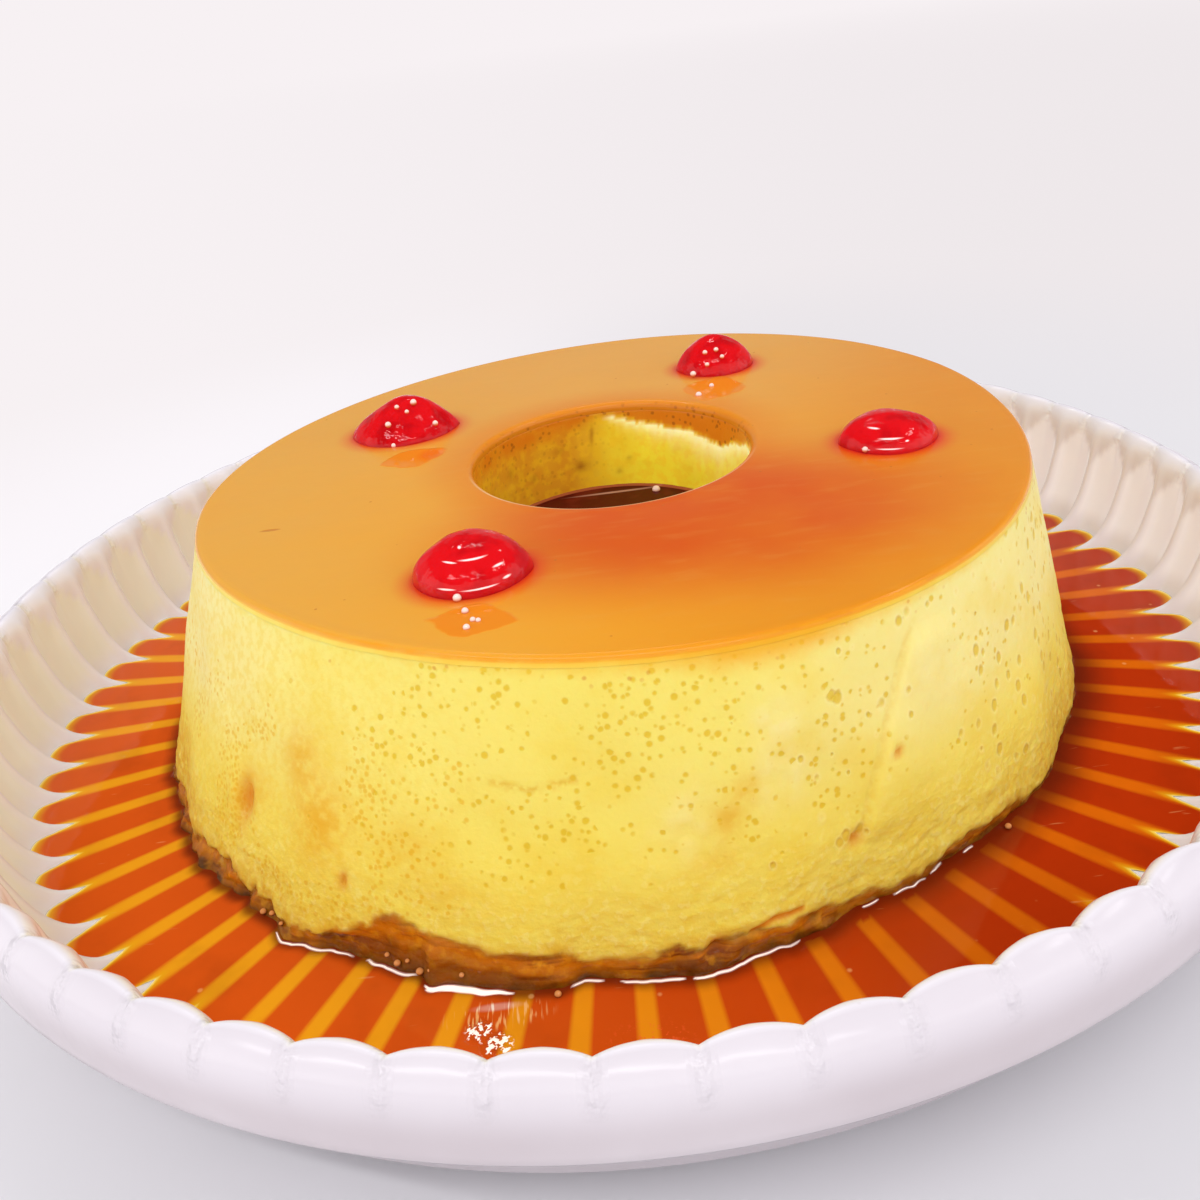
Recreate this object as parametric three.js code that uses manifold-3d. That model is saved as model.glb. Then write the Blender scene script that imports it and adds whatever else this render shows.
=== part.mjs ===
// Caramel pudding with cherry halves, turned out of a ring mould on a fluted plate, in its sauce.
// Millimetres, +Z up. The origin is the middle of the plate's foot ring, on the table.
import * as THREE from 'three';
import { mergeVertices } from 'three/addons/utils/BufferGeometryUtils.js';
import Module from 'manifold-3d';

const wasm = await Module();
wasm.setup();

// Heights are counted from the tops of the ridges on the plate's floor, unless a note says else.
const floorHeight = 6.3; // of the ridge tops above the table
const gap = 0.3; // left between pieces that touch

const plate = {
  flutes: 68,
  firstRidge: 4.5, // degrees from +X
  flatRidge: 0.14, // half of a ridge's flat top, as a share of the flute's pitch
  ridgeFoot: 0.21, // half of a ridge where it meets the valley
  ridgeStart: 101.2, // radius where the ridges rise out of the smooth middle
  middleRadius: 100.6,
  middle: -1.7,
  valley: -2.2,
  underside: -4.4,
  footInside: 79,
  footOutside: 84,
};

const pudding = {
  height: 53.8,
  base: { radius: 100.1, x: -0.6, y: -1.5 },
  top: { radius: 84.7, x: 5.3, y: -1.5 }, // it leans a little as it settles
  tuck: 98.6, // radius of its underside inside the plate's ridges
  sides: 72,
};

// Where the soft foot spreads or is torn back: degrees from +X, degrees wide, millimetres out
const footSwells = [
  { at: 245, wide: 18, out: 1.8 },
  { at: 295, wide: 9, out: -2.6 },
  { at: 342, wide: 16, out: 2.2 },
];

const hole = { topRadius: 30.0, baseRadius: 26.8, sides: 60 };
const caramel = { thickness: 2.6, edgeRound: 1.3, lipRound: 2.2 };
const sauceLevel = 3;
const poolLevel = 34;

const cherries = [
  { x: -42.1, y: 28.0, radius: 11.9, height: 8.3, lobes: 3, turn: 20 },
  { x: -21.9, y: -53.3, radius: 10.1, height: 7.0, lobes: 2, turn: 0 },
  { x: 33.7, y: 47.8, radius: 9.3, height: 8.0, lobes: 3, turn: 50 },
  { x: 61.1, y: -15.3, radius: 9.5, height: 5.6, lobes: 2, turn: -15 },
];

const radians = THREE.MathUtils.degToRad;
const mix = THREE.MathUtils.lerp;
const fullTurn = 2 * Math.PI;

const finishes = {
  plate: { color: 0xf2eef2, roughness: 0.18 },
  custard: { color: 0xf0da72, roughness: 0.5 },
  caramel: { color: 0xe39a48, roughness: 0.3 },
  sauce: { color: 0xc2551c, roughness: 0.12 },
  pool: { color: 0x5e2c0e, roughness: 0.1 },
  cherry: { color: 0xc8181c, roughness: 0.15 },
};

// A ring of points listed anticlockwise. place gives [x, y, height] at an angle and its index.
function ring(angles, place) {
  const points = angles.map((angle, i) => {
    const [x, y, height] = place(angle, i);
    return [x, y, height + floorHeight];
  });
  return { angles, points };
}

function evenAngles(count, start = 0) {
  return Array.from({ length: count }, (_, i) => start + (i * fullTurn) / count);
}

function circle(radius, height, angles) {
  return ring(angles, (angle) => [radius * Math.cos(angle), radius * Math.sin(angle), height]);
}

// Skins rings in order, each stitched to the next by angle, whatever their counts. The order runs
// outwards over the top and back underneath. A ring of one point closes an end; a body without
// such ends, a hoop, is closed from its last ring to its first.
function skin(rings) {
  const positions = rings.flatMap((r) => r.points.flat());
  const starts = [];
  rings.reduce((sum, r) => {
    starts.push(sum);
    return sum + r.points.length;
  }, 0);
  const faces = [];
  const stitch = (a, b) => {
    const [ra, rb] = [rings[a], rings[b]];
    const [na, nb] = [ra.points.length, rb.points.length];
    const id = (r, n, i) => starts[r] + (i % n);
    const angleAt = (r, n, i) => (n === 1 ? Infinity : r.angles[i % n] + (i >= n ? fullTurn : 0));
    let [i, j] = [0, 0];
    const [endA, endB] = [na === 1 ? 0 : na, nb === 1 ? 0 : nb];
    while (i < endA || j < endB) {
      const stepA = j >= endB || (i < endA && angleAt(ra, na, i + 1) < angleAt(rb, nb, j + 1));
      if (stepA) {
        faces.push(id(a, na, i), id(b, nb, j), id(a, na, i + 1));
        i += 1;
      } else {
        faces.push(id(a, na, i), id(b, nb, j), id(b, nb, j + 1));
        j += 1;
      }
    }
  };
  for (let r = 0; r + 1 < rings.length; r += 1) stitch(r, r + 1);
  if (rings[0].points.length > 1) stitch(rings.length - 1, 0);
  const geometry = new THREE.BufferGeometry();
  geometry.setAttribute('position', new THREE.Float32BufferAttribute(positions, 3));
  geometry.setIndex(faces);
  return geometry;
}

function toSolid(geometry) {
  const merged = mergeVertices(geometry, 1e-4);
  return new wasm.Manifold(new wasm.Mesh({
    numProp: 3,
    vertProperties: Float32Array.from(merged.attributes.position.array),
    triVerts: Uint32Array.from(merged.index.array),
  }));
}

function toGeometry(solid) {
  const mesh = solid.getMesh();
  const geometry = new THREE.BufferGeometry();
  geometry.setAttribute('position', new THREE.BufferAttribute(Float32Array.from(mesh.vertProperties), 3));
  geometry.setIndex(Array.from(mesh.triVerts));
  return geometry;
}

function piece(name, geometry, finish) {
  const flat = geometry.toNonIndexed();
  flat.computeVertexNormals();
  const mesh = new THREE.Mesh(flat, new THREE.MeshStandardMaterial({ ...finish, metalness: 0 }));
  mesh.name = name;
  return mesh;
}

// Plate. Its section runs from the floor up the wall and over the rim, once along a ridge and once
// along a valley, as [radius, height]. round is 0 where a ridge is a flat bar and 1 where it swells
// into a lobe that meets the next one in a cusp.
const plateSection = [
  { ridge: [plate.ridgeStart, 0], valley: [plate.ridgeStart, plate.valley], round: 0 },
  { ridge: [112.5, 0], valley: [114.5, plate.valley], round: 0 },
  { ridge: [118.5, 2], valley: [122.5, -0.8], round: 0.1 },
  { ridge: [123.5, 7.5], valley: [129.3, 3], round: 0.3 },
  { ridge: [128.2, 15.5], valley: [133, 12], round: 0.6 },
  { ridge: [132.6, 26], valley: [136, 27.2], round: 1 },
  { ridge: [136.4, 30.9], valley: [138.1, 29.4], round: 1 },
  { ridge: [140.6, 28.4], valley: [140.4, 27.3], round: 1 },
];
const floorStations = 3; // the first stations, whose ridges need only their four corners
const undersideSection = [
  [141.7, 23.5], [142.2, 17.6], [141.2, 16.8], [139, 21], [136.6, 16],
  [134.4, 4.5], [127.5, -3.4], [119, plate.underside],
  [plate.footOutside, plate.underside], [plate.footOutside - 0.6, -floorHeight],
  [plate.footInside + 0.6, -floorHeight], [plate.footInside, plate.underside],
];

// 1 on a ridge, 0 in a valley, where across is -0.5 to 0.5 of the pitch about the ridge's middle
function ridgeShare(across, round) {
  const distance = Math.abs(across);
  const bar = (plate.ridgeFoot - distance) / (plate.ridgeFoot - plate.flatRidge);
  const lobe = Math.sqrt(Math.max(0, 1 - (2 * distance) ** 2));
  return mix(THREE.MathUtils.clamp(bar, 0, 1), lobe, round);
}

function fluteAngles(places) {
  const pitch = fullTurn / plate.flutes;
  const start = radians(plate.firstRidge);
  return Array.from({ length: plate.flutes }, (_, k) => places.map((p) => start + (k + p) * pitch)).flat();
}

function plateRing(station, places) {
  const angles = fluteAngles(places);
  return ring(angles, (angle, i) => {
    const share = ridgeShare(places[i % places.length], station.round);
    const radius = mix(station.valley[0], station.ridge[0], share);
    return [radius * Math.cos(angle), radius * Math.sin(angle),
      mix(station.valley[1], station.ridge[1], share)];
  });
}

function plateGeometry() {
  const corners = [-plate.ridgeFoot, -plate.flatRidge, plate.flatRidge, plate.ridgeFoot];
  const once = fluteAngles([-plate.ridgeFoot]);
  return skin([
    ring([0], () => [0, 0, plate.middle]),
    circle(plate.middleRadius, plate.middle, once),
    ...plateSection.slice(0, floorStations).map((station) => plateRing(station, corners)),
    ...plateSection.slice(floorStations).map((station) => plateRing(station, [-0.5, ...corners])),
    ...undersideSection.map(([radius, height]) => circle(radius, height, once)),
    ring([0], () => [0, 0, plate.underside]),
  ]);
}

// Pudding. The wall is a leaning cone whose foot swells unevenly and whose top is faintly
// three-sided; small lumps stand on it between the smooth top edge and the sauce.
function swell(angle) {
  const degrees = THREE.MathUtils.radToDeg(angle);
  return footSwells.reduce((sum, { at, wide, out }) => {
    const away = THREE.MathUtils.euclideanModulo(degrees - at + 180, 360) - 180;
    return sum + out * Math.exp(-((away / wide) ** 2));
  }, 0);
}

function footRag(angle) {
  return 0.45 * Math.sin(17 * angle + 1) + 0.3 * Math.sin(29 * angle + 2.4);
}

function lumps(angle, height) {
  return 0.35 * Math.sin(7 * angle + height / 9) + 0.3 * Math.sin(13 * angle - height / 6 + 1)
    + 0.25 * Math.sin(23 * angle + height / 4 + 2);
}

function puddingCentre(height) {
  const up = height / pudding.height;
  return [mix(pudding.base.x, pudding.top.x, up), mix(pudding.base.y, pudding.top.y, up)];
}

function wallRadius(angle, height) {
  const up = Math.max(0, height - sauceLevel) / (pudding.height - sauceLevel);
  const low = pudding.base.radius + swell(angle) + footRag(angle);
  const high = pudding.top.radius + 1.3 * Math.cos(3 * (angle - radians(177)));
  return mix(low, high, up) + lumps(angle, height) * Math.sin(Math.PI * up);
}

function holeRadius(height) {
  return mix(hole.baseRadius, hole.topRadius, height / pudding.height);
}

function puddingRing(sides, height, radiusAt) {
  const [x, y] = puddingCentre(height);
  return ring(evenAngles(sides), (angle) => {
    const radius = radiusAt(angle);
    return [x + radius * Math.cos(angle), y + radius * Math.sin(angle), height];
  });
}

function wallRing(height, inset = 0) {
  return puddingRing(pudding.sides, height, (angle) => wallRadius(angle, height) - inset);
}

function holeRing(height, inset = 0) {
  return puddingRing(hole.sides, height, () => holeRadius(height) - inset);
}

const caramelFoot = pudding.height - caramel.thickness;
const custardTop = caramelFoot - gap;

const bed = plate.middle + gap; // where the pudding's underside lies

// The foot overhangs the first ridges where it swells, so its underside steps up there.
function custardGeometry() {
  const wallHeights = [custardTop, 44, 36, 28, 20, 12, sauceLevel + 0.6, 2 * gap];
  const holeHeights = [bed, poolLevel, 43, custardTop];
  const tuckedRing = (height) => (
    puddingRing(pudding.sides, height, (a) => Math.min(wallRadius(a, 0) - 0.1, pudding.tuck)));
  return skin([
    ...wallHeights.map((height) => wallRing(height)),
    tuckedRing(gap),
    tuckedRing(bed),
    ...holeHeights.map((height) => holeRing(height)),
  ]);
}

// The stained top is a thin layer with a soft outer edge and a rounder lip at the hole. A round is
// walked from 0 degrees, on the upright side, to 90, on the flat top.
function caramelGeometry() {
  const { height } = pudding;
  const round = (radius, turn) => ({
    inset: radius * (1 - Math.cos(radians(turn))),
    drop: radius * (1 - Math.sin(radians(turn))),
  });
  const edge = [90, 45, 0].map((turn) => round(caramel.edgeRound, turn));
  const lip = [0, 45, 90].map((turn) => round(caramel.lipRound, turn));
  return skin([
    ...edge.map(({ inset, drop }) => wallRing(height - drop, inset)),
    wallRing(caramelFoot),
    holeRing(caramelFoot),
    ...lip.map(({ inset, drop }) => holeRing(height - drop, -inset)),
  ]);
}

// Sauce. A shallow disc round the pudding, cut by the plate raised by the gap, so that it fills
// the valleys and runs up them in fingers.
function sauceGeometry(plateSolid) {
  const below = plate.valley - 0.8;
  const shore = 131.2;
  const keel = 123;
  const footRing = (height) => {
    const [x, y] = puddingCentre(0);
    return ring(evenAngles(pudding.sides), (angle) => {
      const radius = wallRadius(angle, 0) + gap + 0.1;
      return [x + radius * Math.cos(angle), y + radius * Math.sin(angle), height];
    });
  };
  const around = evenAngles(plate.flutes);
  const disc = toSolid(skin([
    footRing(sauceLevel), circle(shore, sauceLevel, around), circle(keel, below, around), footRing(below),
  ]));
  return toGeometry(disc.subtract(plateSolid.translate([0, 0, gap])));
}

function poolGeometry() {
  return skin([
    ring([0], () => [...puddingCentre(poolLevel), poolLevel]),
    holeRing(poolLevel, gap),
    holeRing(bed, gap),
    ring([0], () => [...puddingCentre(bed), bed]),
  ]);
}

// A cherry half lies cut side down, a little uneven round its outline
function cherryGeometry({ x, y, radius, height, lobes, turn }) {
  const foot = pudding.height + gap;
  const sides = 16;
  const row = (latitude) => ring(evenAngles(sides), (angle) => {
    const uneven = 1 + 0.05 * Math.cos(lobes * (angle - radians(turn)));
    const out = radius * uneven * Math.cos(radians(latitude)) ** 0.8;
    const up = foot + height * Math.sin(radians(latitude));
    return [x + out * Math.cos(angle), y + out * Math.sin(angle), up];
  });
  return skin([
    ring([0], () => [x, y, foot + height]),
    row(60), row(35), row(12), row(0),
    ring([0], () => [x, y, foot]),
  ]);
}

const plateShape = plateGeometry();
const model = new THREE.Group();
model.add(
  piece('plate', plateShape, finishes.plate),
  piece('custard', custardGeometry(), finishes.custard),
  piece('caramel_top', caramelGeometry(), finishes.caramel),
  piece('sauce', sauceGeometry(toSolid(plateShape)), finishes.sauce),
  piece('sauce_centre', poolGeometry(), finishes.pool),
  ...cherries.map((cherry, i) => piece(`cherry_${i + 1}`, cherryGeometry(cherry), finishes.cherry)),
);

export default model;
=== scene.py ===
import math

import bpy
import numpy as np
from mathutils import Matrix, Vector


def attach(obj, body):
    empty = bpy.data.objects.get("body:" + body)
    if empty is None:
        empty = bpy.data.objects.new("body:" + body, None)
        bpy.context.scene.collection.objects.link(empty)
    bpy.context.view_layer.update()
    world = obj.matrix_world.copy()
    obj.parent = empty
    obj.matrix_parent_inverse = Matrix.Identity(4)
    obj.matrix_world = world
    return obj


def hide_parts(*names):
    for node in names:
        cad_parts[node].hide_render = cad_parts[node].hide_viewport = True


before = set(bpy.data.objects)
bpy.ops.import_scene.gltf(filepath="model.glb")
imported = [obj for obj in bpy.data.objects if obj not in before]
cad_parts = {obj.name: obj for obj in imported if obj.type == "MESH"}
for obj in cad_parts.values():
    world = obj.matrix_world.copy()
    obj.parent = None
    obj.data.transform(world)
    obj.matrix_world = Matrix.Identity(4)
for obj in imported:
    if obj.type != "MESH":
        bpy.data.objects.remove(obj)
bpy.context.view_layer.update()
print("frame loaded")

mm = 0.001
floorHeight = 6.3  # the plate's ridge tops stand this far above the table, and heights start there
black = (0.0, 0.0, 0.0, 1.0)


# Camera and room

cameraPlace = {
    "eye": (0.0, -222.3, 136.4),
    "yaw": -0.0095018,
    "pitch": 0.5214776,
    "roll": -0.1292261,
    "sensor": 36.0,
    "lens": 32.506,
    "shift": 0.025,
    "clip": (0.01, 20),
}

room = {
    "floorRadius": 9000,
    "floorSides": 64,
    "tints": {
        "floor": (227, 228, 231),
        "floorCloud": (214, 213, 217),
        "leftGlow": (120, 115, 115),
        "farRight": (238, 232, 234),
        "glow": (255, 251, 253),
        "seen": (247, 241, 243),  # the studio behind the object, and the floor where it melts into that
    },
    "glowStrength": 0.72,
    "glossyGlow": 0.06,  # its brightness in glossy things, which mostly mirror the lamps
    "lowGlow": 0.25,  # what the pale walls low in the studio add to that
    # each lamp: place, what it looks at, size, watts
    "lamps": {
        "frontTube": ((-300, -825, 1550), (0, -20, 40), (2200, 85), 8.2),
        "backTube": ((-150, 1050, 1500), (0, 0, 40), (700, 60), 1.9),
        "sideTube": ((1050, 100, 1300), (0, 0, 40), (600, 60), 1.6),
        "frontFill": ((0, -1300, 700), (0, 0, 20), (3000, 800), 5.5),
        "leftFill": ((-1300, -300, 500), (0, 0, 20), (1500, 800), 3.0),
        "rightFill": ((1300, -300, 500), (0, 0, 20), (1500, 800), 3.3),
    },
}


def toFrame(points):
    return (np.asarray(points, float) + (0, 0, floorHeight)) * mm


def colour(red, green, blue):
    share = np.array([red, green, blue]) / 255
    linear = np.where(share <= 0.04045, share / 12.92, ((share + 0.055) / 1.055) ** 2.4)
    return (*linear.tolist(), 1.0)


class Wire:
    def __init__(self, finish, socket):
        self.finish = finish
        self.socket = socket

    def maths(self, operation, first, second=0.0):
        return self.finish.node("ShaderNodeMath", {"operation": operation}, {0: first, 1: second})

    def __add__(self, other):
        return self.maths("ADD", self, other)

    __radd__ = __add__

    def __sub__(self, other):
        return self.maths("SUBTRACT", self, other)

    def __rsub__(self, other):
        return self.maths("SUBTRACT", other, self)

    def __mul__(self, other):
        return self.maths("MULTIPLY", self, other)

    __rmul__ = __mul__

    def __truediv__(self, other):
        return self.maths("DIVIDE", self, other)

    def __pow__(self, other):
        return self.maths("POWER", self, other)

    def __abs__(self):
        return self.maths("ABSOLUTE", self)

    def most(self, other):
        return self.maths("MAXIMUM", self, other)


class Finish:
    def __init__(self, name, tints, owner=None, places="Object"):
        self.owner = owner or bpy.data.materials.new(name)
        self.owner.use_nodes = True
        self.tree = self.owner.node_tree
        self.tree.nodes.clear()
        self.tints = {title: colour(*tint) for title, tint in tints.items()}
        self.tint = black
        self.place = self.node("ShaderNodeTexCoord", output=places)

    def node(self, kind, settings=None, values=None, output=0):
        made = self.tree.nodes.new(kind)
        for name, value in (settings or {}).items():
            setattr(made, name, value)
        for name, value in (values or {}).items():
            if isinstance(value, Wire):
                self.tree.links.new(value.socket, made.inputs[name])
            else:
                made.inputs[name].default_value = value
        return Wire(self, made.outputs[output]) if made.outputs else None

    def vector(self, operation, first, second=(0, 0, 0), output=0):
        return self.node("ShaderNodeVectorMath", {"operation": operation}, {0: first, 1: second}, output)

    def stretched(self, scale, place=None):
        return self.vector("MULTIPLY", place or self.place, scale)

    def warped(self, size, reach):
        # shifts places unevenly, so that what is laid over them loses its regular outline
        push = self.vector("SUBTRACT", self.noise(size, output="Color"), (0.5, 0.5, 0.5))
        return self.vector("ADD", self.place, self.stretched((reach * mm, reach * mm, reach * mm), push))

    def part(self, place, axis):
        return self.node("ShaderNodeSeparateXYZ", {}, {0: place}, output=axis)

    def noise(self, size, detail=2, place=None, output="Fac"):
        values = {"Vector": place or self.place, "Scale": 1 / (size * mm), "Detail": detail}
        return self.node("ShaderNodeTexNoise", {}, values, output)

    def clouds(self, size, detail, low, high, place=None):
        return self.fade(self.noise(size, detail, place), low, high)

    def cells(self, size, place=None, output="Distance"):
        values = {"Vector": place or self.place, "Scale": 1 / (size * mm)}
        return self.node("ShaderNodeTexVoronoi", {}, values, output)

    def fade(self, value, low, high):
        return self.node("ShaderNodeMapRange", {"interpolation_type": "SMOOTHSTEP"},
                         {"Value": value, "From Min": low, "From Max": high})

    def blend(self, share, under, over):
        return self.node("ShaderNodeMix", {"data_type": "RGBA"}, {0: share, 6: under, 7: over}, output=2)

    def coat(self, share, title):
        # lays a tint over the base colour so far
        self.tint = self.blend(share, self.tint, self.tints[title])

    def laid(self, under, *layers):
        # the same over any colour, one share and tint after the other
        for share, title in layers:
            under = self.blend(share, under, self.tints[title])
        return under

    def painted(self, name):
        return self.node("ShaderNodeAttribute", {"attribute_name": name}, output="Fac")

    def near(self, spot, reach, soft):
        # 1 inside an oval round a spot, fading to 0 at its edge
        away = self.vector("SUBTRACT", self.place, toFrame(spot).tolist())
        away = self.stretched(tuple(1 / (r * mm) for r in reach), away)
        return self.fade(self.vector("LENGTH", away, output="Value"), 1.0, 1.0 - soft)

    def patch(self, spot, reach, level, soft, tall=60):
        # the same on a level, however its surface ripples
        return self.near((*spot, level), (*reach, tall), soft)

    def bump(self, height, distance, strength=1.0, under=None):
        values = {"Height": height, "Distance": distance * mm, "Strength": strength}
        if under:
            values["Normal"] = under
        return self.node("ShaderNodeBump", {}, values)

    def surface(self, values):
        shader = self.node("ShaderNodeBsdfPrincipled", {}, {"Base Color": self.tint, **values})
        self.node("ShaderNodeOutputMaterial", {}, {"Surface": shader})
        return self.owner


def grain(points, size, seed=0):
    # repeatable smooth noise from -1 to 1, with lumps about size across
    place = np.asarray(points, float) / size
    cell = np.floor(place).astype(np.int64)
    part = place - cell
    part = part * part * (3 - 2 * part)
    total = 0
    for corner in np.ndindex(2, 2, 2):
        key = (cell + corner) @ np.array([73856093, 19349663, 83492791]) + seed * 7919
        key = (key ^ (key >> 13)) * 1103515245 % 2147483647
        key = (key ^ (key >> 11)) * 69069 % 2147483647
        total = total + key / 2147483647 * np.prod(np.where(corner, part, 1 - part), axis=-1)
    return total * 2 - 1


def smoothRows(knots, steps):
    # a smooth line through the rows of knots that doesn't overshoot them
    knots = np.array(knots, float)
    rise = np.diff(knots, axis=0)
    both = rise[1:] * rise[:-1]
    pair = np.where(both > 0, rise[1:] + rise[:-1], 1)
    slope = np.vstack([rise[:1], np.where(both > 0, 2 * both / pair, 0), rise[-1:]])
    t = np.arange(steps)[:, None] / steps
    rows = [knots[i] + slope[i] * t + (3 * rise[i] - 2 * slope[i] - slope[i + 1]) * t ** 2
            + (slope[i] + slope[i + 1] - 2 * rise[i]) * t ** 3 for i in range(len(rise))]
    return np.vstack(rows + [knots[-1:]])


def turns(count):
    return np.linspace(0, 2 * math.pi, count, endpoint=False)


def turnFrom(degrees, at):
    # how far round from a place, from -180 to 180
    return (degrees - at + 180) % 360 - 180


def around(degrees, knots):
    # reads a value between knots of (degrees, value) that run once round
    places, values = zip(*knots)
    return np.interp(np.asarray(degrees) % 360, places, values, period=360)


def allAround(degrees, tables):
    return {name: around(degrees, knots) for name, knots in tables.items()}


def step(value, low, high):
    t = np.clip((value - low) / (high - low), 0, 1)
    return t * t * (3 - 2 * t)


def bell(value, width):
    return np.exp(-(value / width) ** 2)


def unit(value):
    return np.clip(value, 0, 1)


def gridFaces(rowCount, columnCount, flip=False, loop=False):
    row = np.arange(rowCount if loop else rowCount - 1)[:, None]
    column = np.arange(columnCount)[None, :]
    nextRow, nextColumn = (row + 1) % rowCount, (column + 1) % columnCount
    corners = [row * columnCount + column, row * columnCount + nextColumn,
               nextRow * columnCount + nextColumn, nextRow * columnCount + column]
    return np.stack(corners[::-1] if flip else corners, -1).reshape(-1, 4)


def ringFace(row, columnCount, flip=False):
    # a single face inside a closed row of points
    corners = list(range(row * columnCount, (row + 1) * columnCount))
    return corners[::-1] if flip else corners


def makeMesh(name, points, faces, material):
    mesh = bpy.data.meshes.new(name)
    mesh.from_pydata(points.reshape(-1, 3).tolist(), [], faces)
    mesh.materials.append(material)
    return mesh


def addObject(name, data):
    made = bpy.data.objects.new(name, data)
    bpy.context.scene.collection.objects.link(made)
    return made


def addPiece(name, points, faces, material, nodes=(), paint=None, ends=()):
    mesh = makeMesh(name, toFrame(points), faces.tolist() + list(ends), material)
    for title, values in (paint or {}).items():
        mesh.attributes.new(title, "FLOAT", "POINT").data.foreach_set(
            "value", np.asarray(values, np.float32).ravel())
    mesh.shade_smooth()
    piece = addObject(name, mesh)
    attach(piece, "root")
    if nodes:
        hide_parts(*nodes)


# Plate: a ribbed floor whose ridges climb the wall, swell into lobes and roll over the rim

plateShape = {
    "flutes": 68,
    "firstRidge": 4.5,  # degrees from +X
    "flatRidge": 0.11,
    "ridgeFoot": 0.2,
    "middle": [(0.5, -1.7), (60, -1.7), (100.4, -1.75)],
    # radius and height along a ridge, the same along a valley, and how round the ridge is
    "section": [
        (101.2, 0, 101.2, -2.2, 0), (112.5, 0, 115.5, -2.2, 0), (117.8, 1, 122.6, -1.4, 0.2),
        (122, 3, 128, 1, 0.3), (126.2, 4.7, 131.3, 4, 0.36), (130, 10, 133.3, 9.8, 0.42),
        (132.6, 19.6, 135, 19.4, 0.5), (134.1, 28.3, 135.8, 27.8, 0.9), (136.6, 30.8, 137.4, 30.1, 1),
        (140.6, 28.4, 140.5, 28.2, 1), (141.9, 23.5, 141.85, 23.4, 1), (142.2, 17.6, 142.2, 17.6, 1),
    ],
    "stepsBetween": 5,
    "rimRow": 40,  # the row along the top of the rim
    "underside": [(141.9, 16.9), (141.2, 16.8), (139, 21), (136.6, 16), (134.6, 4.5), (129.5, -2.6),
                  (122, -4.2), (84, -4.4), (83.4, -6.3), (79.6, -6.3), (79, -4.4), (0.5, -4.4)],
    "undersideShade": 0.95,
    "tints": {
        "glaze": (236, 232, 240),
        "shade": (226, 214, 190),
        "shadeRight": (242, 232, 222),
        "outerShade": (204, 194, 199),
        "cloud": (244, 240, 246),
        "speck": (210, 202, 200),
        "glow": (160, 188, 190),  # painted light: the shaded hollows give off a little light, on the left and on the right
        "glowRight": (190, 216, 246),
    },
}
flutePlaces = np.array([-0.5, -0.46, -0.41, -0.35, -0.29, -0.24, -0.195, -0.15, -0.11, -0.06,
                        0, 0.06, 0.11, 0.15, 0.195, 0.24, 0.29, 0.35, 0.41, 0.46])


def ridgeShare(across, roundness):
    # 1 on a ridge and 0 in a valley: a flat bar on the floor, a thin rib on the wall, a lobe at the rim
    distance = np.abs(across)
    bar = step(distance, plateShape["ridgeFoot"], plateShape["flatRidge"])
    rib = 0.72 * bell(distance, 0.11) + 0.28 * np.cos(math.pi * distance) ** 2
    lobe = 1 - (2 * distance) ** 2.2
    share = bar + (rib - bar) * unit(2.5 * roundness)
    return share + (lobe - share) * unit((roundness - 0.45) / 0.55)


def fluteAngles():
    pitch = 2 * math.pi / plateShape["flutes"]
    flutes = np.arange(plateShape["flutes"])[:, None]
    return (math.radians(plateShape["firstRidge"]) + (flutes + flutePlaces) * pitch).ravel()


def plateLines():
    # radius and height of the plate's upper side, by row and by place across a flute
    rows = smoothRows(plateShape["section"], plateShape["stepsBetween"])
    share = ridgeShare(flutePlaces[None, :], rows[:, 4:5])
    radius = rows[:, 2:3] + (rows[:, 0:1] - rows[:, 2:3]) * share
    height = rows[:, 3:4] + (rows[:, 1:2] - rows[:, 3:4]) * share
    return radius, height, share


def plateFinish():
    finish = Finish("whiteGlaze", plateShape["tints"])
    tints = finish.tints
    right = finish.fade(finish.part(finish.place, 0), -0.05, 0.08)
    # painted shade in the wall's hollows, paler on the right
    hollowShade = finish.painted("hollowShade")
    finish.tint = finish.blend(hollowShade, tints["glaze"],
                               finish.blend(right, tints["shade"], tints["shadeRight"]))
    # painted shade on the outside of the rim and under it
    finish.coat(finish.painted("outer"), "outerShade")
    finish.coat(finish.clouds(30, 3, 0.35, 0.8) * 0.2, "cloud")
    speck = finish.fade(finish.cells(4), 0.09, 0.03) * finish.clouds(25, 2, 0.5, 0.7)
    finish.coat(speck * 0.3, "speck")
    normal = finish.bump(finish.noise(7), 0.25, 0.5)
    normal = finish.bump(finish.noise(1.8) * finish.painted("groove"), 0.9, 0.9, normal)
    return finish.surface({
        "Roughness": 0.16 + finish.noise(3, 3) * 0.1,
        "Specular IOR Level": 0.4,
        # painted light: the hollows glow a little, more on the right
        "Emission Color": finish.blend(hollowShade, black,
                                       finish.blend(right, tints["glow"], tints["glowRight"])),
        "Emission Strength": 0.25,
        "Normal": normal,
    })


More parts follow.
